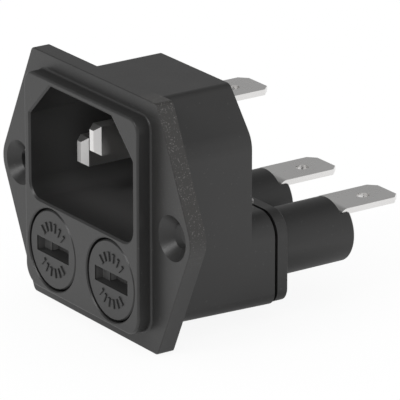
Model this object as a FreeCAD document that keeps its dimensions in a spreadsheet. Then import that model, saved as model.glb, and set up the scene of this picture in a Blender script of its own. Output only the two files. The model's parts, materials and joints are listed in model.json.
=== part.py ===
"""C14 panel inlet with two round fuse carriers, as a parametric FreeCAD document.

Frame: the origin is on the panel face of the flange, midway between the two screw holes.
+X is to the right seen from the front, the front faces -Y and +Z is up. Millimetres.
"""
import FreeCAD
import Part
import Sketcher
import math
import os
import re

SIZES = {
    # Flange and its two countersunk screw holes
    "screw_pitch": 36.5,
    "screw_hole": 3.3,
    "screw_countersink": 6.2,
    "flange_thick": 2.5,
    "flange_height": 34.45,
    "flange_flat": 29.6,
    "flange_tip": 4.1,
    "flange_corner": 0.8,
    "flange_edge": 0.15,
    # Raised block round the socket and the fuse wells
    "block_rise": 2.15,
    "block_width": 27.0,
    "block_top": 14.9,
    "block_bottom": 15.0,
    "block_top_corner": 1.8,
    "block_bottom_corner": 2.8,
    "block_root": 0.3,
    "block_edge": 0.3,
    # Moulded body behind the panel, and the deeper step that holds the fuse bores
    "body_width": 26.7,
    "body_top": 15.3,
    "body_bottom": 14.75,
    "body_level": 2.5,
    "body_fall": 0.5,
    "body_flat": 16.5,
    "body_shoulder": 8.9,
    "body_depth": 13.5,
    "body_top_corner": 1.4,
    "body_shoulder_corner": 4.0,
    "body_bottom_corner": 2.0,
    "step_top": 2.4,
    "step_depth": 17.4,
    "step_edge": 0.15,
    "step_corner": 3.2,
    # Socket opening and its three blades
    "socket_width": 24.5,
    "socket_top": 14.0,
    "socket_bottom": 2.45,
    "socket_flat": 14.6,
    "socket_shoulder": 9.1,
    "socket_wall": 1.55,
    "socket_corner": 2.2,
    "socket_edge": 0.25,
    "pin_spacing": 14.0,
    "pin_width": 2.0,
    "pin_height": 4.0,
    "pin_level": 4.25,
    "earth_rise": 4.0,
    "earth_pin_inset": 1.85,
    "line_pin_inset": 4.45,
    "pin_tip": 0.9,
    "pin_tip_slope": 0.55,
    "tenon_width": 0.8,
    "tenon_height": 3.0,
    "tenon_proud": 0.25,
    # Fuse wells
    "fuse_spacing": 14.0,
    "fuse_level": 8.75,
    "well_radius": 5.7,
    "well_depth": 5.6,
    "well_edge": 0.15,
    "bore_radius": 4.0,
    "bore_depth": 7.0,
    "sleeve_bore": 3.45,
    # Fuse carriers, with a two-lug bayonet
    "carrier_gap": 0.22,
    "carrier_inset": 0.15,
    "carrier_float": 0.15,
    "carrier_bevel": 0.2,
    "carrier_boss": 3.7,
    "carrier_boss_length": 6.6,
    "driver_slot_length": 7.7,
    "driver_slot_width": 2.1,
    "driver_slot_depth": 1.3,
    "driver_slot_core": 4.4,
    "driver_slot_core_depth": 1.1,
    "lug_span": 9.7,
    "lug_width": 2.6,
    "lug_thick": 1.2,
    "lip_thick": 0.9,
    "bayonet_clearance": 0.15,
    "bayonet_turn": 60.0,
    "bayonet_spread": 21.0,
    # Ferrule and the 5 x 20 fuse that it holds
    "ferrule_start": 3.1,
    "ferrule_length": 12.4,
    "ferrule_wall": 0.3,
    "fuse_play": 0.05,
    "fuse_radius": 2.6,
    "fuse_length": 20.0,
    "fuse_cap_length": 5.5,
    "fuse_cap_wall": 0.25,
    "glass_wall": 0.6,
    "fuse_wire": 0.15,
    # Side contact that grips the ferrule
    "contact_play": 0.05,
    "contact_length": 4.0,
    "contact_flange": 4.4,
    # Rear cover with its two fuse barrels
    "cover_gap": 0.3,
    "cover_thick": 1.7,
    "cover_bottom": 15.05,
    "cover_edge": 0.15,
    "barrel_edge": 0.2,
    "cover_spigot": 1.1,
    "cover_spigot_length": 3.5,
    "cover_spigot_pitch": 6.0,
    "barrel_radius": 4.57,
    "barrel_bore": 3.4,
    "barrel_end": 31.7,
    "end_recess": 1.5,
    "end_recess_radius": 3.7,
    "end_wall": 1.2,
    "notch_play": 0.15,
    # Quick-connect tabs, links, rivets and springs
    "tab_width": 6.3,
    "tab_thick": 0.8,
    "tab_reach": 40.6,
    "tab_level": 5.1,
    "tab_bend": 0.5,
    "tab_foot": 1.7,
    "tab_hole": 1.8,
    "tab_hole_setback": 4.3,
    "tab_chamfer": 1.3,
    "tab_lead": 0.22,
    "earth_tab_reach": 24.05,
    "earth_tab_level": 11.4,
    "earth_tab_foot": 2.4,
    "link_width": 1.6,
    "link_level": 1.7,
    "link_top": 2.1,
    "rivet_shank": 0.8,
    "rivet_head": 1.5,
    "rivet_head_thick": 0.5,
    "spring_radius": 1.9,
    "spring_wire": 0.25,
    "spring_turns": 2.5,
    "spring_play": 0.05,
}

doc = FreeCAD.newDocument("PanelInlet")
sheet = doc.addObject("Spreadsheet::Sheet", "Sizes")
for row, (alias, value) in enumerate(SIZES.items(), start=1):
    sheet.set("A%d" % row, alias)
    sheet.set("B%d" % row, str(value))
    sheet.setAlias("B%d" % row, alias)
doc.recompute()


# Formulas and shared levels ----------------------------------------------------------------

def formula(text):
    """Text with every size name written as a cell of the sheet."""
    return re.sub(r"[a-z_]+", lambda word: "Sizes." + word.group() if word.group() in SIZES else word.group(),
                  text)


FRONT = "(flange_thick + block_rise)"
CARRIER_FACE = "(flange_thick + block_rise - carrier_inset)"
WELL_FLOOR = "(well_depth - flange_thick - block_rise)"
CARRIER_SHOULDER = "(well_depth - flange_thick - block_rise - carrier_float)"
LUG_FRONT = "(well_depth - flange_thick - block_rise + lip_thick + bayonet_clearance)"
COVER_FRONT = "(step_depth + cover_gap)"
COVER_REAR = "(step_depth + cover_gap + cover_thick)"
END_FACE = "(barrel_end - end_recess)"
FUSE_FRONT = "(ferrule_start + ferrule_wall)"
FUSE_REAR = "(ferrule_start + ferrule_wall + fuse_length)"
CARRIER_RADIUS = "(well_radius - carrier_gap)"
FERRULE_INSIDE = "(fuse_radius + fuse_play)"
FERRULE_OUTSIDE = "(fuse_radius + fuse_play + ferrule_wall)"
CONTACT_FACE = "(barrel_end - end_recess - end_wall - rivet_head_thick)"


# Document helpers --------------------------------------------------------------------------

def bind(thing, prop, text):
    thing.setExpression(prop, formula(text))


def new_body(name):
    body = doc.addObject("PartDesign::Body", name)
    body.Label = name
    return body


def new_sketch(body, name, role, shift=("0", "0", "0")):
    """Sketch on one of the body's own origin planes, shifted in the plane and along its normal."""
    plane = [item for item in body.Origin.OriginFeatures if item.Role == role][0]
    sketch = body.newObject("Sketcher::SketchObject", name)
    sketch.AttachmentSupport = [(plane, "")]
    sketch.MapMode = "FlatFace"
    for axis, text in zip("xyz", shift):
        bind(sketch, "AttachmentOffset.Base." + axis, text)
    return sketch


def pin_point(sketch, line, end, across, up):
    """Holds one end of a line at a place given by two formulas."""
    for kind, text in (("DistanceX", across), ("DistanceY", up)):
        index = sketch.addConstraint(Sketcher.Constraint(kind, -1, 1, line, end, 1.0))
        bind(sketch, "Constraints[%d]" % index, text)


def outline(sketch, corners):
    """Closed outline through the corners, each one a pair of formulas."""
    count = len(corners)
    first = sketch.GeometryCount
    turns = [2 * math.pi * k / count for k in range(count)]
    seeds = [FreeCAD.Vector(math.cos(turn), math.sin(turn), 0) for turn in turns]
    for k in range(count):
        sketch.addGeometry(Part.LineSegment(seeds[k], seeds[(k + 1) % count]), False)
    for k in range(count):
        sketch.addConstraint(Sketcher.Constraint("Coincident", first + k, 2, first + (k + 1) % count, 1))
    for k, (across, up) in enumerate(corners):
        pin_point(sketch, first + k, 1, across, up)


def circle(sketch, radius, across="0", up="0"):
    index = sketch.addGeometry(Part.Circle(FreeCAD.Vector(0, 0, 0), FreeCAD.Vector(0, 0, 1), 1.0), False)
    place = sketch.addConstraint(Sketcher.Constraint("Radius", index, 1.0))
    bind(sketch, "Constraints[%d]" % place, radius)
    pin_point(sketch, index, 3, across, up)


def rectangle(sketch, left, right, bottom, top):
    outline(sketch, [(left, bottom), (right, bottom), (right, top), (left, top)])


def pad(body, sketch, length, backwards=False):
    feature = body.newObject("PartDesign::Pad", sketch.Name + "_pad")
    feature.Profile = sketch
    feature.Reversed = backwards
    bind(feature, "Length", length)
    sketch.Visibility = False
    return feature


def pocket(body, sketch, length, backwards=False):
    doc.recompute()
    before = body.Shape.Volume
    feature = body.newObject("PartDesign::Pocket", sketch.Name + "_cut")
    feature.Profile = sketch
    feature.Reversed = backwards
    bind(feature, "Length", length)
    doc.recompute()
    if body.Shape.Volume > before - 1e-6:
        raise RuntimeError(sketch.Name + " cut nothing")
    return feature


def edge_names(shape, wanted):
    return ["Edge%d" % (k + 1) for k, edge in enumerate(shape.Edges) if wanted(edge)]


def dress(body, kind, name, wanted, size):
    """Fillet or Chamfer on the wanted edges of the body as it stands."""
    doc.recompute()
    tip = body.Tip
    names = edge_names(tip.Shape, wanted)
    if not names:
        raise RuntimeError(name + " found no edge")
    feature = body.newObject("PartDesign::" + kind, name)
    feature.Base = (tip, names)
    bind(feature, "Radius" if kind == "Fillet" else "Size", size)
    doc.recompute()
    return feature


def runs_along(edge, axis):
    """True for a straight edge along the axis (0, 1 or 2)."""
    if edge.Curve.TypeId != "Part::GeomLine":
        return False
    way = edge.Curve.Direction
    return abs(abs((way.x, way.y, way.z)[axis]) - 1) < 1e-6


def runs_behind(edge):
    """True for an edge along Y behind the flange's rear face."""
    return runs_along(edge, 1) and edge.BoundBox.YMax > size("flange_thick") / 2


def lies_at(edge, **places):
    """True where the edge's box keeps to the given values, such as x=3.0, over its whole length."""
    box = edge.BoundBox
    spans = {"x": (box.XMin, box.XMax), "y": (box.YMin, box.YMax), "z": (box.ZMin, box.ZMax)}
    return all(abs(low - value) < 0.02 and abs(high - value) < 0.02
               for (low, high), value in ((spans[axis], value) for axis, value in places.items()))


def size(*names):
    """Sum of the named cells, for finding the edges that they made; a leading minus subtracts."""
    return sum(-sheet.get(name[1:]) if name.startswith("-") else sheet.get(name) for name in names)


def cylinder(name, radius, length, x, y, z, sweep=None, start=0.0):
    """Cylinder along Y from the place given, towards the front; sweep and start make it a sector."""
    solid = doc.addObject("Part::Cylinder", name)
    turn = FreeCAD.Rotation(FreeCAD.Vector(1, 0, 0), 90) * FreeCAD.Rotation(FreeCAD.Vector(0, 0, 1), start)
    solid.Placement = FreeCAD.Placement(FreeCAD.Vector(0, 0, 0), turn)
    bind(solid, "Radius", radius)
    bind(solid, "Height", length)
    if sweep:
        bind(solid, "Angle", sweep)
    for axis, text in zip("xyz", (x, y, z)):
        bind(solid, "Placement.Base." + axis, text)
    return solid


def join(name, shapes):
    result = doc.addObject("Part::MultiFuse", name)
    result.Shapes = shapes
    result.Refine = True
    return result


def cut(name, base, tool):
    result = doc.addObject("Part::Cut", name)
    result.Base = base
    result.Tool = tool
    return result


PARTS = []


def keep(thing, name):
    thing.Label = name
    PARTS.append(thing)
    return thing


SIDES = (("line", "1"), ("neutral", "-1"))


# Housing: one moulding with the flange, front block, socket, fuse wells and rear body ------

def build_housing():
    body = new_body("housing_moulding")

    flange = new_sketch(body, "flange", "XZ_Plane")
    tip = ("(flange_flat / 2 + (flange_height / 2) / tan(atan(flange_height / (screw_pitch - flange_flat))"
           " - asin(flange_tip / sqrt((flange_height / 2)^2 + ((screw_pitch - flange_flat) / 2)^2))))")
    outline(flange, [
        ("-flange_flat / 2", "flange_height / 2"), ("flange_flat / 2", "flange_height / 2"), (tip, "0"),
        ("flange_flat / 2", "-flange_height / 2"), ("-flange_flat / 2", "-flange_height / 2"),
        ("-" + tip, "0")])
    pad(body, flange, "flange_thick")
    dress(body, "Fillet", "flange_tips",
          lambda e: runs_along(e, 1) and abs(e.BoundBox.ZMin) < 0.01, "flange_tip")
    dress(body, "Fillet", "flange_corners",
          lambda e: runs_along(e, 1) and abs(abs(e.BoundBox.ZMin) - size("flange_height") / 2) < 0.01,
          "flange_corner")
    dress(body, "Fillet", "flange_edges", lambda e: lies_at(e, y=-size("flange_thick")), "flange_edge")

    block = new_sketch(body, "block", "XZ_Plane")
    rectangle(block, "-block_width / 2", "block_width / 2", "-block_bottom", "block_top")
    pad(body, block, FRONT)
    half = size("block_width") / 2
    dress(body, "Fillet", "block_top_corners",
          lambda e: runs_along(e, 1) and abs(e.BoundBox.ZMin - size("block_top")) < 0.01
          and abs(abs(e.BoundBox.XMin) - half) < 0.01, "block_top_corner")
    dress(body, "Fillet", "block_bottom_corners",
          lambda e: runs_along(e, 1) and abs(e.BoundBox.ZMin + size("block_bottom")) < 0.01
          and abs(abs(e.BoundBox.XMin) - half) < 0.01, "block_bottom_corner")
    front = -size("flange_thick", "block_rise")
    dress(body, "Fillet", "block_edges", lambda e: lies_at(e, y=front), "block_edge")
    dress(body, "Fillet", "block_roots",
          lambda e: lies_at(e, y=-size("flange_thick")) and abs(e.BoundBox.Center.x) <= half + 0.01
          and -size("block_bottom") - 0.01 <= e.BoundBox.ZMin and e.BoundBox.ZMax <= size("block_top") + 0.01,
          "block_root")

    rear = new_sketch(body, "rear_body", "XZ_Plane")
    outline(rear, [
        ("-body_width / 2", "-fuse_level"), ("body_width / 2", "-fuse_level"),
        ("body_width / 2", "body_shoulder"), ("body_flat / 2", "body_top"),
        ("-body_flat / 2", "body_top"), ("-body_width / 2", "body_shoulder")])
    pad(body, rear, "body_depth", backwards=True)
    dress(body, "Fillet", "body_top_corners",
          lambda e: runs_behind(e) and abs(e.BoundBox.ZMin - size("body_top")) < 0.01, "body_top_corner")
    dress(body, "Fillet", "body_shoulders",
          lambda e: runs_behind(e) and abs(e.BoundBox.ZMin - size("body_shoulder")) < 0.01,
          "body_shoulder_corner")

    step = new_sketch(body, "step", "YZ_Plane", ("0", "0", "-body_width / 2"))
    outline(step, [
        ("0", "-body_bottom"), ("body_level", "-body_bottom"), ("step_depth", "-body_bottom - body_fall"),
        ("step_depth", "-step_top"), ("0", "-step_top")])
    pad(body, step, "body_width")
    dress(body, "Fillet", "step_corners",
          lambda e: runs_behind(e) and abs(e.BoundBox.ZMin + size("step_top")) < 0.01, "step_corner")
    dress(body, "Fillet", "body_bottom_corners",
          lambda e: (runs_behind(e) or e.BoundBox.YLength > size("body_level"))
          and e.BoundBox.ZMax < -size("body_bottom") + 0.01,
          "body_bottom_corner")
    dress(body, "Chamfer", "step_edges", lambda e: lies_at(e, y=size("step_depth")), "step_edge")

    socket = new_sketch(body, "socket", "XZ_Plane", ("0", "0", FRONT))
    outline(socket, [
        ("-socket_width / 2", "-socket_bottom"), ("socket_width / 2", "-socket_bottom"),
        ("socket_width / 2", "socket_shoulder"), ("socket_flat / 2", "socket_top"),
        ("-socket_flat / 2", "socket_top"), ("-socket_width / 2", "socket_shoulder")])
    pocket(body, socket, FRONT + " + body_depth - socket_wall")
    dress(body, "Fillet", "socket_corners",
          lambda e: runs_along(e, 1) and e.BoundBox.YMin < 0 < e.BoundBox.YMax
          and abs(e.BoundBox.ZMin + size("socket_bottom")) < 0.01, "socket_corner")

    wells = new_sketch(body, "wells", "XZ_Plane", ("0", "0", FRONT))
    bores = new_sketch(body, "bores", "XZ_Plane", ("0", "0", FRONT))
    sleeves = new_sketch(body, "sleeve_bores", "XZ_Plane", ("0", "0", FRONT))
    for _, side in SIDES:
        circle(wells, "well_radius", side + " * fuse_spacing / 2", "-fuse_level")
        circle(bores, "bore_radius", side + " * fuse_spacing / 2", "-fuse_level")
        circle(sleeves, "sleeve_bore", side + " * fuse_spacing / 2", "-fuse_level")
    pocket(body, wells, "well_depth")
    pocket(body, bores, FRONT + " + bore_depth + carrier_float")
    pocket(body, sleeves, FRONT + " + step_depth")

    slots = new_sketch(body, "pin_slots", "XZ_Plane", ("0", "0", FRONT))
    for across, up in (("-pin_spacing / 2", "pin_level"), ("pin_spacing / 2", "pin_level"),
                       ("0", "pin_level + earth_rise")):
        rectangle(slots, across + " - pin_width / 2", across + " + pin_width / 2",
                  up + " - pin_height / 2", up + " + pin_height / 2")
    pocket(body, slots, FRONT + " + body_depth")

    spigots = new_sketch(body, "spigot_holes", "XZ_Plane", ("0", "0", "-step_depth"))
    for up in ("-fuse_level + cover_spigot_pitch / 2", "-fuse_level - cover_spigot_pitch / 2"):
        circle(spigots, "cover_spigot", "0", up)
    pocket(body, spigots, "cover_spigot_length", backwards=True)

    screws = new_sketch(body, "screws", "XZ_Plane", ("0", "0", "flange_thick"))
    for side in ("-", ""):
        circle(screws, "screw_hole / 2", side + "screw_pitch / 2", "0")
    doc.recompute()
    holes = body.newObject("PartDesign::Hole", "screw_holes")
    holes.Profile = screws
    holes.DepthType = "ThroughAll"
    holes.HoleCutType = "Countersink"
    bind(holes, "Diameter", "screw_hole")
    bind(holes, "HoleCutDiameter", "screw_countersink")
    holes.HoleCutCountersinkAngle = 90.0
    doc.recompute()

    dress(body, "Chamfer", "socket_mouth",
          lambda e: lies_at(e, y=front) and e.BoundBox.ZMin > -size("socket_bottom") - 0.01
          and abs(e.BoundBox.Center.x) <= size("socket_width") / 2 + 0.01
          and e.BoundBox.ZMax < size("socket_top") + 0.01, "socket_edge")
    dress(body, "Chamfer", "well_mouths",
          lambda e: lies_at(e, y=front) and e.Curve.TypeId == "Part::GeomCircle"
          and abs(e.Curve.Radius - size("well_radius")) < 0.01, "well_edge")
    return body


def build_bayonet_cuts():
    """Entry slots through the lip and the sector behind it in which each lug turns."""
    tools = []
    spread = sheet.get("bayonet_spread")
    turn = sheet.get("bayonet_turn")
    groove_rear = LUG_FRONT + " + lug_thick + bayonet_clearance"
    lug_radius = "sqrt((lug_span / 2)^2 + (lug_width / 2)^2) + bayonet_clearance"
    for name, side in SIDES:
        place = (side + " * fuse_spacing / 2", groove_rear, "-fuse_level")
        for half in (0, 180):
            tools.append(cylinder("%s_groove_%d" % (name, half), lug_radius,
                                  "lug_thick + 2 * bayonet_clearance", *place,
                                  sweep="bayonet_turn + 2 * bayonet_spread", start=half - spread))
            tools.append(cylinder("%s_entry_%d" % (name, half), lug_radius,
                                  groove_rear + " - " + WELL_FLOOR, *place,
                                  sweep="2 * bayonet_spread", start=half + turn - spread))
    return join("bayonet_cuts", tools)


keep(cut("housing_cut", build_housing(), build_bayonet_cuts()), "housing")


# Rear cover: plate with two open fuse barrels, located by two spigots ----------------------

def build_rear_cover():
    body = new_body("rear_cover")
    plate = new_sketch(body, "plate", "XZ_Plane", ("0", "0", "-" + COVER_FRONT))
    rectangle(plate, "-body_width / 2", "body_width / 2", "-cover_bottom", "-step_top")
    pad(body, plate, "cover_thick", backwards=True)
    dress(body, "Fillet", "plate_top_corners",
          lambda e: runs_along(e, 1) and abs(e.BoundBox.ZMin + size("step_top")) < 0.01, "step_corner")
    dress(body, "Fillet", "plate_bottom_corners",
          lambda e: runs_along(e, 1) and abs(e.BoundBox.ZMin + size("cover_bottom")) < 0.01,
          "body_bottom_corner")
    rear = size("step_depth", "cover_gap", "cover_thick")
    dress(body, "Chamfer", "plate_edges", lambda e: lies_at(e, y=rear), "cover_edge")

    barrels = new_sketch(body, "barrels", "XZ_Plane", ("0", "0", "-" + COVER_FRONT))
    bores = new_sketch(body, "barrel_bores", "XZ_Plane", ("0", "0", "-" + COVER_FRONT))
    recesses = new_sketch(body, "end_recesses", "XZ_Plane", ("0", "0", "-barrel_end"))
    shanks = new_sketch(body, "rivet_holes", "XZ_Plane", ("0", "0", "-barrel_end"))
    notches = new_sketch(body, "tab_notches", "XZ_Plane", ("0", "0", "-barrel_end"))
    for _, side in SIDES:
        centre = side + " * fuse_spacing / 2"
        circle(barrels, "barrel_radius", centre, "-fuse_level")
        circle(bores, "barrel_bore", centre, "-fuse_level")
        circle(recesses, "end_recess_radius", centre, "-fuse_level")
        circle(shanks, "rivet_shank", centre, "-fuse_level")
        rectangle(notches, centre + " - tab_width / 2 - notch_play", centre + " + tab_width / 2 + notch_play",
                  "-fuse_level", "-fuse_level + 2 * barrel_radius")
    pad(body, barrels, "barrel_end - " + COVER_FRONT, backwards=True)
    dress(body, "Chamfer", "barrel_edges", lambda e: lies_at(e, y=size("barrel_end")), "barrel_edge")
    pocket(body, bores, CONTACT_FACE + " + rivet_head_thick - " + COVER_FRONT)
    pocket(body, recesses, "end_recess", backwards=True)
    pocket(body, notches, "end_recess", backwards=True)
    pocket(body, shanks, "end_recess + end_wall", backwards=True)

    pads = new_sketch(body, "spigots", "XZ_Plane", ("0", "0", "-" + COVER_FRONT))
    for up in ("-fuse_level + cover_spigot_pitch / 2", "-fuse_level - cover_spigot_pitch / 2"):
        circle(pads, "cover_spigot", "0", up)
    pad(body, pads, "cover_gap + cover_spigot_length")
    doc.recompute()
    return body


keep(build_rear_cover(), "rear_cover")


# Socket blades: flat bar with a four-sided tapered tip and a tenon for riveting ------------

TENON = ("-tenon_width / 2", "tenon_width / 2", "-tenon_height / 2", "tenon_height / 2")


def build_pin(name, across, up, inset, foot):
    body = new_body(name)
    shoulder = "(" + FRONT + " - " + inset + " - pin_tip)"
    half = ("-pin_width / 2", "pin_width / 2", "-pin_height / 2", "pin_height / 2")
    blade = new_sketch(body, name + "_blade", "XZ_Plane", (across, up, shoulder))
    rectangle(blade, *half)
    pad(body, blade, shoulder + " + body_depth", backwards=True)
    tenon = new_sketch(body, name + "_tenon", "XZ_Plane", (across, up, "-body_depth"))
    rectangle(tenon, *TENON)
    pad(body, tenon, foot + " + tenon_proud", backwards=True)
    tip = new_sketch(body, name + "_tip", "XZ_Plane", (across, up, shoulder))
    rectangle(tip, *half)
    taper = pad(body, tip, "pin_tip")
    bind(taper, "TaperAngle", "-atan(pin_tip_slope / pin_tip)")
    doc.recompute()
    return body


for name, side in SIDES:
    keep(build_pin(name + "_pin", side + " * pin_spacing / 2", "pin_level", "line_pin_inset", "cover_gap"),
         name + "_pin")
keep(build_pin("earth_pin", "0", "pin_level + earth_rise", "earth_pin_inset", "tab_thick"), "earth_pin")


# Quick-connect tabs: strip bent once, with a chamfered end and a locking hole --------------

def build_tab(name, across, wall, foot, level, reach, hole_level, hole_shape):
    """wall is the face that the foot lies on, foot its lowest edge and level the tab's top face."""
    body = new_body(name)
    profile = new_sketch(body, name + "_strip", "YZ_Plane", ("0", "0", across + " - tab_width / 2"))
    outline(profile, [
        (wall, foot), (wall + " + tab_thick", foot), (wall + " + tab_thick", level + " - tab_thick"),
        (reach, level + " - tab_thick"), (reach, level), (wall, level)])
    pad(body, profile, "tab_width")
    doc.recompute()
    shape = body.Shape.BoundBox
    thick = sheet.get("tab_thick")
    dress(body, "Fillet", name + "_inner_bend",
          lambda e: runs_along(e, 0) and abs(e.BoundBox.YMin - shape.YMin - thick) < 0.01
          and abs(e.BoundBox.ZMax - shape.ZMax + thick) < 0.01, "tab_bend")
    dress(body, "Fillet", name + "_outer_bend",
          lambda e: runs_along(e, 0) and lies_at(e, y=shape.YMin, z=shape.ZMax), "tab_bend + tab_thick")
    dress(body, "Chamfer", name + "_end",
          lambda e: runs_along(e, 2) and abs(e.BoundBox.YMin - shape.YMax) < 0.01, "tab_chamfer")
    dress(body, "Chamfer", name + "_lead",
          lambda e: runs_along(e, 0) and abs(e.BoundBox.YMin - shape.YMax) < 0.01, "tab_lead")
    hole = new_sketch(body, name + "_hole", "XY_Plane", (across, reach + " - tab_hole_setback", level))
    circle(hole, "tab_hole / 2")
    pocket(body, hole, "tab_thick")
    mount = new_sketch(body, name + "_mount", "XZ_Plane", (across, hole_level, "-" + wall))
    if hole_shape == "round":
        circle(mount, "rivet_shank")
    else:
        rectangle(mount, *TENON)
    pocket(body, mount, "tab_thick")
    return body


for name, side in SIDES:
    keep(build_tab(name + "_tab", side + " * fuse_spacing / 2", END_FACE, "-fuse_level - tab_foot",
                   "-tab_level", "tab_reach", "-fuse_level", "round"), name + "_tab")
keep(build_tab("earth_tab", "0", "body_depth", "pin_level + earth_rise - earth_tab_foot",
               "earth_tab_level", "earth_tab_reach", "pin_level + earth_rise", "blade"), "earth_tab")


# Links: strip riveted on each blade, stepped back over the body to the fuse contact --------

def build_link(name, across):
    body = new_body(name)
    profile = new_sketch(body, name + "_strip", "YZ_Plane", ("0", "0", across + " - link_width / 2"))
    outline(profile, [
        ("body_depth", "-link_level - cover_gap"), ("step_depth", "-link_level - cover_gap"),
        ("step_depth", "-fuse_level + contact_flange"), (COVER_FRONT, "-fuse_level + contact_flange"),
        (COVER_FRONT, "-link_level"), ("body_depth + cover_gap", "-link_level"),
        ("body_depth + cover_gap", "pin_level + pin_height / 2 + link_top"),
        ("body_depth", "pin_level + pin_height / 2 + link_top")])
    pad(body, profile, "link_width")
    hole = new_sketch(body, name + "_slot", "XZ_Plane", (across, "pin_level", "-body_depth"))
    rectangle(hole, *TENON)
    pocket(body, hole, "cover_gap")
    return body


for name, side in SIDES:
    keep(build_link(name + "_link", side + " * fuse_spacing / 2"), name + "_link")


# Fuse stacks: one set of pieces on each fuse axis ------------------------------------------

def build_carrier(name, across):
    body = new_body(name)
    shift = (across, "-fuse_level")
    head = new_sketch(body, name + "_head", "XZ_Plane", shift + (CARRIER_FACE,))
    circle(head, CARRIER_RADIUS)
    pad(body, head, CARRIER_FACE + " + " + CARRIER_SHOULDER, backwards=True)
    face = -size("flange_thick", "block_rise", "-carrier_inset")
    dress(body, "Chamfer", name + "_bevel", lambda e: lies_at(e, y=face), "carrier_bevel")
    doc.recompute()
    boss = new_sketch(body, name + "_boss", "XZ_Plane", shift + ("-" + CARRIER_SHOULDER,))
    circle(boss, "carrier_boss")
    pad(body, boss, "carrier_boss_length - " + CARRIER_SHOULDER, backwards=True)
    lugs = new_sketch(body, name + "_lugs", "XZ_Plane", shift + ("-" + LUG_FRONT,))
    rectangle(lugs, "-lug_span / 2", "lug_span / 2", "-lug_width / 2", "lug_width / 2")
    pad(body, lugs, "lug_thick", backwards=True)
    slot = new_sketch(body, name + "_slot", "XZ_Plane", shift + (CARRIER_FACE,))
    rectangle(slot, "-driver_slot_length / 2", "driver_slot_length / 2",
              "-driver_slot_width / 2", "driver_slot_width / 2")
    pocket(body, slot, "driver_slot_depth")
    core = new_sketch(body, name + "_slot_core", "XZ_Plane", shift + (CARRIER_FACE,))
    rectangle(core, "-driver_slot_core / 2", "driver_slot_core / 2",
              "-driver_slot_width / 2", "driver_slot_width / 2")
    pocket(body, core, "driver_slot_depth + driver_slot_core_depth")
    seat = new_sketch(body, name + "_seat", "XZ_Plane", shift + ("-carrier_boss_length",))
    circle(seat, FERRULE_OUTSIDE)
    pocket(body, seat, "carrier_boss_length - ferrule_start", backwards=True)
    return body


def tube(name, outside, inside, start, length, across):
    """Tube along Y; start is its front end."""
    place = (across, start + " + " + length, "-fuse_level")
    outer = cylinder(name + "_outer", outside, length, *place)
    inner = cylinder(name + "_inner", inside, length, *place)
    return cut(name, outer, inner)


def cup(name, outside, inside, start, length, wall, across, open_to_rear=True):
    """Drawn cup along Y with a flat end of its wall's thickness."""
    depth = "(%s - %s)" % (length, wall)
    rear = start + " + " + length
    outer = cylinder(name + "_outer", outside, length, across, rear, "-fuse_level")
    inner_rear = rear if open_to_rear else rear + " - " + wall
    inner = cylinder(name + "_inner", inside, depth, across, inner_rear, "-fuse_level")
    return cut(name, outer, inner)


def build_contact(name, across):
    sleeve = tube(name + "_sleeve", "sleeve_bore", FERRULE_OUTSIDE + " + contact_play",
                  "(step_depth - contact_length)", "contact_length", across)
    flange = tube(name + "_flange", "contact_flange", FERRULE_OUTSIDE + " + contact_play",
                  "step_depth", "cover_gap", across)
    return join(name, [sleeve, flange])


def build_spring(name, across):
    """Compression spring between the fuse's rear cap and the rivet."""
    start = "(" + FUSE_REAR + " + spring_play + spring_wire)"
    length = "(" + CONTACT_FACE + " - " + FUSE_REAR + " - 2 * spring_play - 2 * spring_wire)"
    helix = doc.addObject("Part::Helix", name + "_path")
    helix.Placement = FreeCAD.Placement(FreeCAD.Vector(0, 0, 0),
                                        FreeCAD.Rotation(FreeCAD.Vector(1, 0, 0), -90))
    bind(helix, "Pitch", length + " / spring_turns")
    bind(helix, "Height", length)
    bind(helix, "Radius", "spring_radius")
    section = doc.addObject("Part::Circle", name + "_wire")
    bind(section, "Radius", "spring_wire")
    for axis, text in zip("xyz", (across, start, "-fuse_level")):
        bind(helix, "Placement.Base." + axis, text)
    bind(section, "Placement.Base.x", across + " + spring_radius")
    bind(section, "Placement.Base.y", start)
    bind(section, "Placement.Base.z", "-fuse_level")
    spring = doc.addObject("Part::Sweep", name)
    spring.Sections = [section]
    spring.Spine = (helix, [])
    spring.Solid = True
    spring.Frenet = True
    return spring


def build_rivet(name, across):
    shank = cylinder(name + "_shank", "rivet_shank", "end_wall + tab_thick",
                     across, END_FACE + " + tab_thick", "-fuse_level")
    inner = cylinder(name + "_contact", "rivet_head", "rivet_head_thick",
                     across, END_FACE + " - end_wall", "-fuse_level")
    outer = cylinder(name + "_head", "rivet_head", "rivet_head_thick",
                     across, END_FACE + " + tab_thick + rivet_head_thick", "-fuse_level")
    return join(name, [shank, inner, outer])


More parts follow.
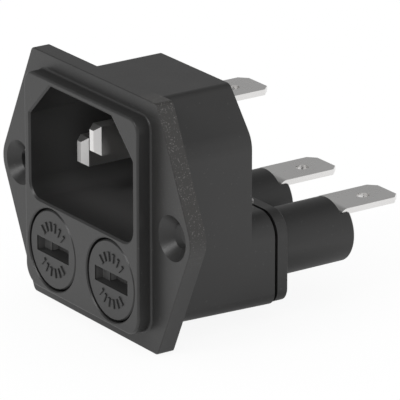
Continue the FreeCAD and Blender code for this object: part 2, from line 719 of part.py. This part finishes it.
for name, side in SIDES:
    axis_x = side + " * fuse_spacing / 2"
    keep(build_carrier(name + "_carrier", axis_x), name + "_carrier")
    keep(cup(name + "_ferrule_cup", FERRULE_OUTSIDE, FERRULE_INSIDE, "ferrule_start", "ferrule_length",
             "ferrule_wall", axis_x), name + "_ferrule")
    keep(cup(name + "_front_cup", "fuse_radius", "fuse_radius - fuse_cap_wall", FUSE_FRONT,
             "fuse_cap_length", "fuse_cap_wall", axis_x), name + "_fuse_front_cap")
    keep(cup(name + "_rear_cup", "fuse_radius", "fuse_radius - fuse_cap_wall",
             "(" + FUSE_REAR + " - fuse_cap_length)", "fuse_cap_length", "fuse_cap_wall", axis_x,
             open_to_rear=False), name + "_fuse_rear_cap")
    inside = "(" + FUSE_FRONT + " + fuse_cap_wall)"
    inner_length = "(fuse_length - 2 * fuse_cap_wall)"
    keep(tube(name + "_glass", "fuse_radius - fuse_cap_wall", "fuse_radius - fuse_cap_wall - glass_wall",
              inside, inner_length, axis_x), name + "_fuse_glass")
    keep(cylinder(name + "_wire", "fuse_wire", inner_length, axis_x, inside + " + " + inner_length,
                  "-fuse_level"), name + "_fuse_wire")
    keep(build_contact(name + "_contact_ring", axis_x), name + "_contact")
    keep(build_spring(name + "_coil", axis_x), name + "_spring")
    keep(build_rivet(name + "_rivet_solid", axis_x), name + "_rivet")


# Checks and files --------------------------------------------------------------------------

doc.recompute()
for item in doc.Objects:
    if "Invalid" in item.State or "Error" in item.State:
        raise RuntimeError("%s failed: %s" % (item.Label, item.State))
for item in PARTS:
    if item.Shape.isNull() or not item.Shape.isValid() or not item.Shape.Solids:
        raise RuntimeError(item.Label + " has no valid solid")

os.makedirs("parts", exist_ok=True)
for item in PARTS:
    item.Shape.exportStep("parts/%s.step" % item.Label)
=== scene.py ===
"""Looks of a C14 panel inlet with two fuse carriers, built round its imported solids.

Metres, in the part's own frame: the origin is on the panel, midway between the screw holes,
the front faces -Y and +Z is up.
"""
import json
import math

import bmesh
import bpy
from mathutils import Matrix, Vector


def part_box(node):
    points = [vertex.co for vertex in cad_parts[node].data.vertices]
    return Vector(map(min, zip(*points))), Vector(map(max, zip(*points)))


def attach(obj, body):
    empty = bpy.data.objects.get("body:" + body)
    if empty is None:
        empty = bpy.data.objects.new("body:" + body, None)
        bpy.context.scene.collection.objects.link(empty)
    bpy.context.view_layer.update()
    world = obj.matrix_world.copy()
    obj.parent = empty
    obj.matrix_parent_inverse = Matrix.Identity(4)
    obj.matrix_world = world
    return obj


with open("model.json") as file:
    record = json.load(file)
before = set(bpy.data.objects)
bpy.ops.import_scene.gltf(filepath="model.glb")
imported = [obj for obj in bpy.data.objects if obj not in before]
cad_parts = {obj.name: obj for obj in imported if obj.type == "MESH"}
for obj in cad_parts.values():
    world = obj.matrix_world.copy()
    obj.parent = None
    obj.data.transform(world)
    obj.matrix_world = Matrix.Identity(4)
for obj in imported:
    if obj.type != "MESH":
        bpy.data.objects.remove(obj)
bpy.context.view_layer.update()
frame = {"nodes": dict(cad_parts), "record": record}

# Housing -----------------------------------------------------------------------------------
# One injection moulding in black glass-filled nylon with a satin, spark-eroded finish: flange,
# front block, socket and rear body. The socket's walls are rougher and painted paler, as painted
# fill light in its shaded recess, and two countersunk screws hold the flange to the panel.


class Value:
    """A shader socket that can be used in arithmetic; each operation adds its Math node.

    Value(tree), with no socket, only adds nodes to a tree.
    """

    def __init__(self, tree, socket=None):
        self.tree = tree
        self.socket = socket

    def node(self, kind, settings=None, **inputs):
        """A new node; an input is given by its name, or as i and its number."""
        made = self.tree.nodes.new(kind)
        for name, setting in (settings or {}).items():
            setattr(made, name, setting)
        for name, value in inputs.items():
            numbered = name[0] == "i" and name[1:].isdigit()
            target = made.inputs[int(name[1:]) if numbered else name.replace("_", " ")]
            if isinstance(value, Value):
                self.tree.links.new(value.socket, target)
            else:
                target.default_value = value
        return made

    def out(self, made, name=0):
        return Value(self.tree, made.outputs[name])

    def math(self, operation, first, second=0.0):
        made = self.node("ShaderNodeMath", {"operation": operation}, i0=first, i1=second)
        return self.out(made)

    def __add__(self, other):
        return self.math("ADD", self, other)

    def __radd__(self, other):
        return self.math("ADD", other, self)

    def __sub__(self, other):
        return self.math("SUBTRACT", self, other)

    def __rsub__(self, other):
        return self.math("SUBTRACT", other, self)

    def __mul__(self, other):
        return self.math("MULTIPLY", self, other)

    def __rmul__(self, other):
        return self.math("MULTIPLY", other, self)

    def __abs__(self):
        return self.math("ABSOLUTE", self)

    def ramp(self, start, end, low=0.0, high=1.0):
        """Smooth step from low at start to high at end."""
        made = self.node("ShaderNodeMapRange", {"interpolation_type": "SMOOTHSTEP"}, Value=self,
                         From_Min=start, From_Max=end, To_Min=low, To_Max=high)
        return self.out(made)

    def into(self, target):
        self.tree.links.new(self.socket, target)


def new_material(name):
    """An empty Principled material: the material, its shader and the Object coordinates."""
    material = bpy.data.materials.new(name)
    material.use_nodes = True
    tree = material.node_tree
    nodes = Value(tree)
    place = nodes.out(nodes.node("ShaderNodeTexCoord"), "Object")
    return material, tree.nodes["Principled BSDF"], place


def axes(place):
    """The x, y and z of a place."""
    split = place.node("ShaderNodeSeparateXYZ", Vector=place)
    return [place.out(split, axis) for axis in "XYZ"]


def noise(place, scale, detail=2.0, roughness=0.5):
    """A noise pattern between 0 and 1."""
    made = place.node("ShaderNodeTexNoise", Vector=place, Scale=scale, Detail=detail,
                      Roughness=roughness)
    return place.out(made, "Fac")


def swing(pattern, depth):
    """A noise as a change either side of nothing."""
    return (pattern - 0.5) * depth


def tint(factor, low, high):
    """A colour between two others; the colour sockets of a Mix node are 6 and 7 in, 2 out."""
    made = factor.node("ShaderNodeMix", {"data_type": "RGBA"}, i0=factor, i6=low, i7=high)
    return factor.out(made, 2)


def bump(shader, height, strength, depth):
    """Relief on a shader, from a pattern of heights."""
    made = height.node("ShaderNodeBump", Strength=strength, Distance=depth, Height=height)
    height.out(made, "Normal").into(shader.inputs["Normal"])


def grey(level, warmth=0.0):
    """A grey of this level, turned a little from blue to red."""
    return (level * (1 + warmth), level, level * (1 - warmth), 1.0)


# Each pattern of the plastic: its scale, where it starts and is full, how far it changes the
# colour, and what it adds to the roughness.
CLOUD_SCALE = 170.0
CLOUD_DEPTH = 0.14
CLOUD_ROUGH = 0.10
SPECK_SCALE = 2300.0
SPECK_EDGE = (0.70, 0.78)
SPECK_BRIGHTNESS = 3.0
SPECK_STRENGTH = 0.5
SPECK_ROUGH = 0.10
GRAIN_SCALE = 4200.0
GRAIN_BUMP = 0.35
GRAIN_HEIGHT = 0.00002
GRAIN_ROUGH = 0.08
DULL_ROUGH = 0.15
DUST_SCALE = 5200.0
DUST_EDGE = (0.62, 0.70)
DUST_LEVEL = 0.13
DUST_WARMTH = 0.03
DUST_ROUGH = 0.25
HAZE_BRIGHTNESS = 1.6
HAZE_WARMTH = 0.08
HAZE_STRENGTH = 0.5
NYLON_WARMTH = 0.01
NYLON_IOR = 1.5


def black_plastic(name, level, rough, painted_fill=None, painted_fill_level=0.068, dusty=None):
    """Moulded plastic: cloudy flow, spark-eroded grain and pale specks.

    A zone given as a function of x, y and z is painted paler, as painted fill light where the
    plastic lies in shade, and made rougher; dusty(x, y, z) is a zone with dust caught in its
    grain.
    """
    material, shader, place = new_material(name)
    cloud = noise(place, CLOUD_SCALE, detail=3.0)
    grain = noise(place, GRAIN_SCALE, roughness=0.6)
    specks = noise(place, SPECK_SCALE, detail=1.0).ramp(*SPECK_EDGE)
    colour = tint(cloud, grey(level * (1 - CLOUD_DEPTH), NYLON_WARMTH),
                  grey(level * (1 + CLOUD_DEPTH), NYLON_WARMTH))
    colour = tint(specks * SPECK_STRENGTH, colour, grey(level * SPECK_BRIGHTNESS))
    roughness = (rough + swing(cloud, CLOUD_ROUGH) + swing(grain, GRAIN_ROUGH)
                 + specks * SPECK_ROUGH)
    # Painted fill light: the zone's colour is painted paler to stand in for light in a shaded
    # recess.
    if painted_fill:
        zone = painted_fill(*axes(place))
        colour = tint(zone, colour, grey(painted_fill_level, NYLON_WARMTH))
        roughness = roughness + zone * DULL_ROUGH
    if dusty:
        zone = dusty(*axes(place))
        dust = noise(place, DUST_SCALE, detail=1.0).ramp(*DUST_EDGE) * zone
        haze = grey(level * HAZE_BRIGHTNESS, HAZE_WARMTH)
        colour = tint(zone * HAZE_STRENGTH, colour, haze)
        colour = tint(dust, colour, grey(DUST_LEVEL, DUST_WARMTH))
        roughness = roughness + dust * DUST_ROUGH
    colour.into(shader.inputs["Base Color"])
    roughness.into(shader.inputs["Roughness"])
    bump(shader, grain, GRAIN_BUMP, GRAIN_HEIGHT)
    shader.inputs["IOR"].default_value = NYLON_IOR
    return material


# Where the painted fill light in the socket starts and where it is full, each just outside the
# socket's own walls; the chamfered corners lie where |x| + z is the same.
SOCKET_SIDES = (0.01240, 0.01226)
SOCKET_END = (0.0125, 0.0121)
SOCKET_BOTTOM = (-0.0026, -0.00245)
SOCKET_TOP = (0.0142, 0.0140)
SOCKET_CHAMFERS = (0.0222, 0.0220)
# The painted fill light fades out towards the mouth, and a little towards the left wall.
SOCKET_MOUTH = (-0.0046, 0.0030)
SOCKET_LEFT = (-0.0122, -0.0060)
SOCKET_LEFT_LEVEL = 0.75


def socket_painted_fill(x, y, z):
    """Painted fill light in the socket: 1 deep in it, less towards its mouth and its left wall,
    and 0 outside it.
    """
    sides = abs(x).ramp(*SOCKET_SIDES) * (abs(x) + z).ramp(*SOCKET_CHAMFERS)
    heights = z.ramp(*SOCKET_BOTTOM) * z.ramp(*SOCKET_TOP)
    depths = y.ramp(*SOCKET_END) * y.ramp(*SOCKET_MOUTH)
    return sides * heights * depths * x.ramp(*SOCKET_LEFT, SOCKET_LEFT_LEVEL, 1.0)


panel_screws, = [row for row in frame["record"]["mounts"] if row["name"] == "panel_screws"]
SCREW_X = panel_screws["dims"]["spacing_x_mm"] / 2 / 1000
# Fine dust lies from the flange's front edge to just behind it, on the right, more of it
# towards the top, and the countersink is clear of it.
DUST_FRONT = (-0.0026, -0.0023)
DUST_BACK = (0.0045, 0.0002)
DUST_RIGHT = (0.0100, 0.0125)
DUST_UP = (-0.0060, 0.0050)
DUST_LEAST = 0.05
DUST_MOST = 0.9
HOLE_CLEAR_START = 0.0034
HOLE_CLEAR_END = 0.0038


def rim_zone(x, y, z):
    """Fine dust on the right-hand rim of the flange, and a little on the body just behind it."""
    rim = y.ramp(*DUST_FRONT) * y.ramp(*DUST_BACK) * x.ramp(*DUST_RIGHT)
    from_screw = (x - SCREW_X) * (x - SCREW_X) + z * z
    clear_of_hole = from_screw.ramp(HOLE_CLEAR_START ** 2, HOLE_CLEAR_END ** 2)
    return rim * clear_of_hole * z.ramp(*DUST_UP, DUST_LEAST, DUST_MOST)


def dress(node, material):
    """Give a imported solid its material."""
    slots = frame["nodes"][node].data.materials
    slots.clear()
    slots.append(material)


dress("housing", black_plastic("housing_plastic", level=0.021, rough=0.40,
                               painted_fill=socket_painted_fill, dusty=rim_zone))

# Rear cover --------------------------------------------------------------------------------
# A second moulding in the same black nylon: the plate that closes the fuse wells from behind,
# with the two open barrels that hold the fuses. Its spigots press into the housing.
dress("rear_cover", black_plastic("cover_plastic", level=0.020, rough=0.42))

# Blades, tabs and links --------------------------------------------------------------------
# Blanked brass strip with bright tin plate, and rivets of the same that hold the tabs. The
# drawn grain runs along each strip, and handling has left the plate a little clouded.
PLATE_CLOUD_SCALE = 260.0
PLATE_CLOUD_ROUGH = 0.12
PLATE_DARK = 0.93
PLATE_BRIGHT = 1.06
PLATE_WARMTH = 0.012
PLATE_GRAIN_HEIGHT = 0.00001
ALONG_STRIP = (6000.0, 500.0, 6000.0)
ALONG_BLADE = (1500.0, 200.0, 1500.0)


def plated(name, level, rough, grain_scale, grain_depth=0.12):
    """Plated or drawn metal: a clouded finish over a grain stretched as grain_scale says."""
    material, shader, place = new_material(name)
    cloud = noise(place, PLATE_CLOUD_SCALE, detail=4.0)
    along = place.out(place.node("ShaderNodeMapping", Vector=place, Scale=grain_scale))
    grain = noise(along, 1.0)
    colour = tint(cloud, grey(level * PLATE_DARK, PLATE_WARMTH),
                  grey(level * PLATE_BRIGHT, PLATE_WARMTH))
    colour.into(shader.inputs["Base Color"])
    roughness = rough + swing(cloud, PLATE_CLOUD_ROUGH) + swing(grain, grain_depth)
    roughness.into(shader.inputs["Roughness"])
    bump(shader, grain, grain_depth, PLATE_GRAIN_HEIGHT)
    shader.inputs["Metallic"].default_value = 1.0
    return material


tin_plate = plated("tin_plate", level=0.76, rough=0.28, grain_scale=ALONG_STRIP,
                   grain_depth=0.06)
blade_plate = plated("blade_plate", level=0.81, rough=0.36, grain_scale=ALONG_BLADE,
                     grain_depth=0.03)
for node in frame["nodes"]:
    if node.endswith(("_tab", "_link", "_rivet")):
        dress(node, tin_plate)
    elif node.endswith("_pin"):
        dress(node, blade_plate)

# Fuse contacts and springs -----------------------------------------------------------------
# A sprung sleeve of plated brass sits in each fuse well and grips the carrier's ferrule. Behind
# each fuse a spring of bright steel wire, held by the rivet, pushes the fuse forwards.
EVEN_GRAIN = (900.0, 900.0, 900.0)
contact_plate = plated("contact_plate", level=0.62, rough=0.26, grain_scale=EVEN_GRAIN)
spring_steel = plated("spring_steel", level=0.50, rough=0.34, grain_scale=EVEN_GRAIN)
for side in ("line", "neutral"):
    dress(side + "_contact", contact_plate)
    dress(side + "_spring", spring_steel)

# Fuse carriers -----------------------------------------------------------------------------
# Turned out with a screwdriver: a black moulded knob with a stepped slot. Raised ribs in two
# arcs stand above and below the slot. The fuse ferrule is pressed into its rear.
RIB_COUNT = 6
RIB_SPREAD = math.radians(92)
RIB_INNER = 0.00255
RIB_OUTER = 0.00385
RIB_WIDTH = 0.00042
RIB_PROUD = 0.00018
RIB_EDGE = 0.00009
SLOT_HALF_LENGTH = 0.00385
SLOT_HALF_WIDTH = 0.00105
SLOT_DEPTH = 0.0013
SLOT_CORE_DEPTH = 0.0024
# How much fill light is painted into each part of the slot, which lies in shade.
SIDES_FILL = 0.09
LEDGE_FILL = 0.20
CORE_FILL = 0.20
CORE_WALL_FILL = 0.90
END_FILL = 0.28
# The width over which one tone changes to the next.
FADE = 0.0001
face, back_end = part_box("line_carrier")
AXIS_X = (face.x + back_end.x) / 2
AXIS_Z = (face.z + back_end.z) / 2
FACE_Y = face.y


def slot_painted_fill(x, y, z):
    """Painted fill light in either carrier's shaded slot: paler on its floors, ends and core
    walls, least on its long sides.
    """
    across = abs(abs(x) - AXIS_X)
    up = abs(z - AXIS_Z)
    deep = y - FACE_Y
    inside = (across.ramp(SLOT_HALF_LENGTH + FADE, SLOT_HALF_LENGTH)
              * up.ramp(SLOT_HALF_WIDTH + 1.5 * FADE, SLOT_HALF_WIDTH + 0.5 * FADE)
              * deep.ramp(FADE, 3 * FADE))
    ledge = abs(deep - SLOT_DEPTH).ramp(1.5 * FADE, 0.5 * FADE)
    core = abs(deep - SLOT_CORE_DEPTH).ramp(1.5 * FADE, 0.5 * FADE)
    core_walls = deep.ramp(SLOT_DEPTH + 1.2 * FADE, SLOT_DEPTH + 2 * FADE) - core
    ends = across.ramp(SLOT_HALF_LENGTH - 2 * FADE, SLOT_HALF_LENGTH - FADE)
    between_sides = up.ramp(SLOT_HALF_WIDTH, SLOT_HALF_WIDTH - FADE)
    floors = (ledge * LEDGE_FILL + core * CORE_FILL + core_walls * CORE_WALL_FILL
              + ends * END_FILL)
    return inside * (between_sides * floors + SIDES_FILL)


# The slot is painted paler, as painted fill light in its shaded recess.
carrier_plastic = black_plastic("carrier_plastic", level=0.018, rough=0.38,
                                painted_fill=slot_painted_fill, painted_fill_level=0.18)


def add_rib(shape, centre, angle):
    """One short bar on the carrier's face, along a radius, with its front edges rounded."""
    made = bmesh.ops.create_cube(shape, size=1.0)["verts"]
    size = Matrix.Diagonal((RIB_OUTER - RIB_INNER, 2 * RIB_PROUD, RIB_WIDTH, 1.0))
    radial = Matrix.Translation(((RIB_OUTER + RIB_INNER) / 2, 0.0, 0.0))
    spin = Matrix.Rotation(-angle, 4, "Y")
    whole = Matrix.Translation(centre) @ spin @ radial @ size
    bmesh.ops.transform(shape, matrix=whole, verts=made)
    edges = dict.fromkeys(edge for vert in made for edge in vert.link_edges)
    front = [edge for edge in edges if all(vert.co.y < centre.y for vert in edge.verts)]
    bmesh.ops.bevel(shape, geom=front, offset=RIB_EDGE, segments=2, profile=0.5,
                    affect="EDGES", material=-1)


def carrier_ribs(side):
    """The two arcs of ribs on one carrier's face, as one piece that turns with it."""
    centre = Vector((AXIS_X if side == "line" else -AXIS_X, FACE_Y, AXIS_Z))
    shape = bmesh.new()
    for middle in (math.pi / 2, -math.pi / 2):
        for k in range(RIB_COUNT):
            add_rib(shape, centre, middle + RIB_SPREAD * (k / (RIB_COUNT - 1) - 0.5))
    mesh = bpy.data.meshes.new(side + "_carrier_ribs")
    shape.to_mesh(mesh)
    shape.free()
    ribs = bpy.data.objects.new(side + "_carrier_ribs", mesh)
    bpy.context.scene.collection.objects.link(ribs)
    mesh.materials.append(carrier_plastic)
    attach(ribs, side + "_carrier")


for side in ("line", "neutral"):
    dress(side + "_carrier", carrier_plastic)
    dress(side + "_ferrule", contact_plate)
    carrier_ribs(side)

# Fuses -------------------------------------------------------------------------------------
# A 5 x 20 mm cartridge: a clear glass tube with nickel-plated brass caps crimped on its ends,
# and a thin tinned wire from cap to cap. The ferrule grips the front cap.
GLASS_COLOUR = (0.95, 0.98, 0.97, 1.0)
GLASS_ROUGH = 0.02
GLASS_SMEAR_ROUGH = 0.05
GLASS_SMEAR_SCALE = 400.0
fuse_plate = plated("fuse_plate", level=0.64, rough=0.22, grain_scale=EVEN_GRAIN)
glass, glass_shader, place = new_material("fuse_glass")
glass_shader.inputs["Base Color"].default_value = GLASS_COLOUR
glass_shader.inputs["Transmission Weight"].default_value = 1.0
smears = noise(place, GLASS_SMEAR_SCALE) * GLASS_SMEAR_ROUGH
(GLASS_ROUGH + smears).into(glass_shader.inputs["Roughness"])
for side in ("line", "neutral"):
    dress(side + "_fuse_glass", glass)
    for node in ("_fuse_front_cap", "_fuse_rear_cap", "_fuse_wire"):
        dress(side + node, fuse_plate)

# Studio ------------------------------------------------------------------------------------
# The part stands on white paper in a white room. The paper is plain white to the camera but
# for the part's faint shadow; its image in the part carries a painted shadow and a painted
# darkening, and the room is a little darker overhead and behind the part.
FLOOR_GAP = 0.00005
FLOOR_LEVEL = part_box("housing")[0].z - FLOOR_GAP
FLOOR_REACH = 3.0
PAPER_LEVEL = 0.9
SHADOW = 0.09
# The paper's image in the part is painted darker: a painted shadow round the part's foot, and a
# painted darkening towards the front right.
FOOT = Vector((0.004, 0.018, FLOOR_LEVEL))
PAINTED_SHADOW_REACH = (0.010, 0.036)
PAINTED_SHADOW_LEVEL = 0.45
PAINTED_DARK_WAY = Vector((0.56, -0.83, 0.0))
PAINTED_DARK_REACH = (0.015, 0.06)
PAINTED_DARKENING = 0.3
scene = bpy.context.scene

mesh = bpy.data.meshes.new("floor")
shape = bmesh.new()
bmesh.ops.create_grid(shape, x_segments=1, y_segments=1, size=FLOOR_REACH,
                      matrix=Matrix.Translation((0, 0, FLOOR_LEVEL)))
shape.to_mesh(mesh)
shape.free()
floor = bpy.data.objects.new("floor", mesh)
scene.collection.objects.link(floor)

paper = bpy.data.materials.new("white_paper")
paper.use_nodes = True
paper.node_tree.nodes.clear()
nodes = Value(paper.node_tree)
ray = nodes.node("ShaderNodeLightPath")
place = nodes.out(nodes.node("ShaderNodeTexCoord"), "Object")
away = nodes.out(nodes.node("ShaderNodeVectorMath", {"operation": "DISTANCE"},
                            i0=place, i1=FOOT), "Value")
painted_dark_along = nodes.out(nodes.node("ShaderNodeVectorMath", {"operation": "DOT_PRODUCT"},
                            i0=place, i1=PAINTED_DARK_WAY), "Value")
# Painted shadow and painted darkening in the paper's image, seen by glossy rays only.
painted_reflection = away.ramp(*PAINTED_SHADOW_REACH, PAINTED_SHADOW_LEVEL, 1.0) * painted_dark_along.ramp(*PAINTED_DARK_REACH, 1.0, 1 - PAINTED_DARKENING)
glossy = nodes.out(ray, "Is Glossy Ray")
glow = nodes.node("ShaderNodeEmission", Color=(1, 1, 1, 1), Strength=1 - glossy * (1 - painted_reflection))
matt = nodes.node("ShaderNodeBsdfDiffuse", Color=(PAPER_LEVEL, PAPER_LEVEL, PAPER_LEVEL, 1))
amount = (nodes.out(ray, "Is Camera Ray") * (1 - SHADOW) + glossy
          + nodes.out(ray, "Is Transmission Ray"))
mix = nodes.node("ShaderNodeMixShader", i0=amount, i1=nodes.out(matt), i2=nodes.out(glow))
nodes.node("ShaderNodeOutputMaterial", Surface=nodes.out(mix))
floor.data.materials.append(paper)

# How bright the room is on the part: its light, and its image low down and overhead.
ROOM_LIGHT = 1.0
ROOM_LOW = 0.385
ROOM_HIGH = 0.15
ROOM_RISE = (0.35, 0.80)
WINDOW_WAY = Vector((0.72, 0.56, 0.42)).normalized()
WINDOW_SPREAD = (0.5, 1.0)
WINDOW = 0.45
world = bpy.data.worlds.new("studio")
scene.world = world
world.use_nodes = True
world.node_tree.nodes.clear()
nodes = Value(world.node_tree)
ray = nodes.node("ShaderNodeLightPath")
way = nodes.out(nodes.node("ShaderNodeTexCoord"), "Generated")
height = axes(way)[2]
towards = nodes.out(nodes.node("ShaderNodeVectorMath", {"operation": "DOT_PRODUCT"},
                               i0=way, i1=WINDOW_WAY), "Value")
seen = nodes.out(ray, "Is Camera Ray") + nodes.out(ray, "Is Transmission Ray")
glossy = nodes.out(ray, "Is Glossy Ray")
room = height.ramp(*ROOM_RISE, ROOM_LOW, ROOM_HIGH) + towards.ramp(*WINDOW_SPREAD) * WINDOW
level = seen + (1 - seen) * (glossy * room + (1 - glossy) * ROOM_LIGHT)
back = nodes.node("ShaderNodeBackground", Color=(1, 1, 1, 1), Strength=level)
nodes.node("ShaderNodeOutputWorld", Surface=nodes.out(back))

# One soft box in front of the part, high up.
MIDDLE = Vector((0.0, 0.01, 0.0))
KEY_PLACE = Vector((0.07, -0.55, 0.42))
KEY_WIDTH = 0.25
KEY_HEIGHT = 0.18
KEY_WATTS = 1.5
lamp = bpy.data.lights.new("key", "AREA")
lamp.shape = "RECTANGLE"
lamp.size = KEY_WIDTH
lamp.size_y = KEY_HEIGHT
lamp.energy = KEY_WATTS
key = bpy.data.objects.new("key", lamp)
key.location = KEY_PLACE
key.rotation_euler = (MIDDLE - KEY_PLACE).to_track_quat("-Z", "Y").to_euler()
scene.collection.objects.link(key)

# Camera ------------------------------------------------------------------------------------
# A long lens at the front right, a little above the part: azimuth from the front towards +X,
# elevation, and the distance from the point it aims at.
AZIMUTH = math.radians(55.423)
ELEVATION = math.radians(19.492)
DISTANCE = 0.6227
AIM = Vector((0.01006, 0.0075, 0.00087))
FOCAL = 428.2
SENSOR = 36.0
back_way = Vector((math.sin(AZIMUTH) * math.cos(ELEVATION),
                   -math.cos(AZIMUTH) * math.cos(ELEVATION), math.sin(ELEVATION)))
lens = bpy.data.cameras.new("camera")
lens.lens = FOCAL
lens.sensor_width = SENSOR
lens.sensor_fit = "HORIZONTAL"
lens.clip_start = 0.01
lens.clip_end = 20.0
camera = bpy.data.objects.new("camera", lens)
camera.location = AIM + back_way * DISTANCE
camera.rotation_euler = (-back_way).to_track_quat("-Z", "Y").to_euler()
scene.collection.objects.link(camera)
scene.camera = camera

scene.view_settings.view_transform = "Standard"
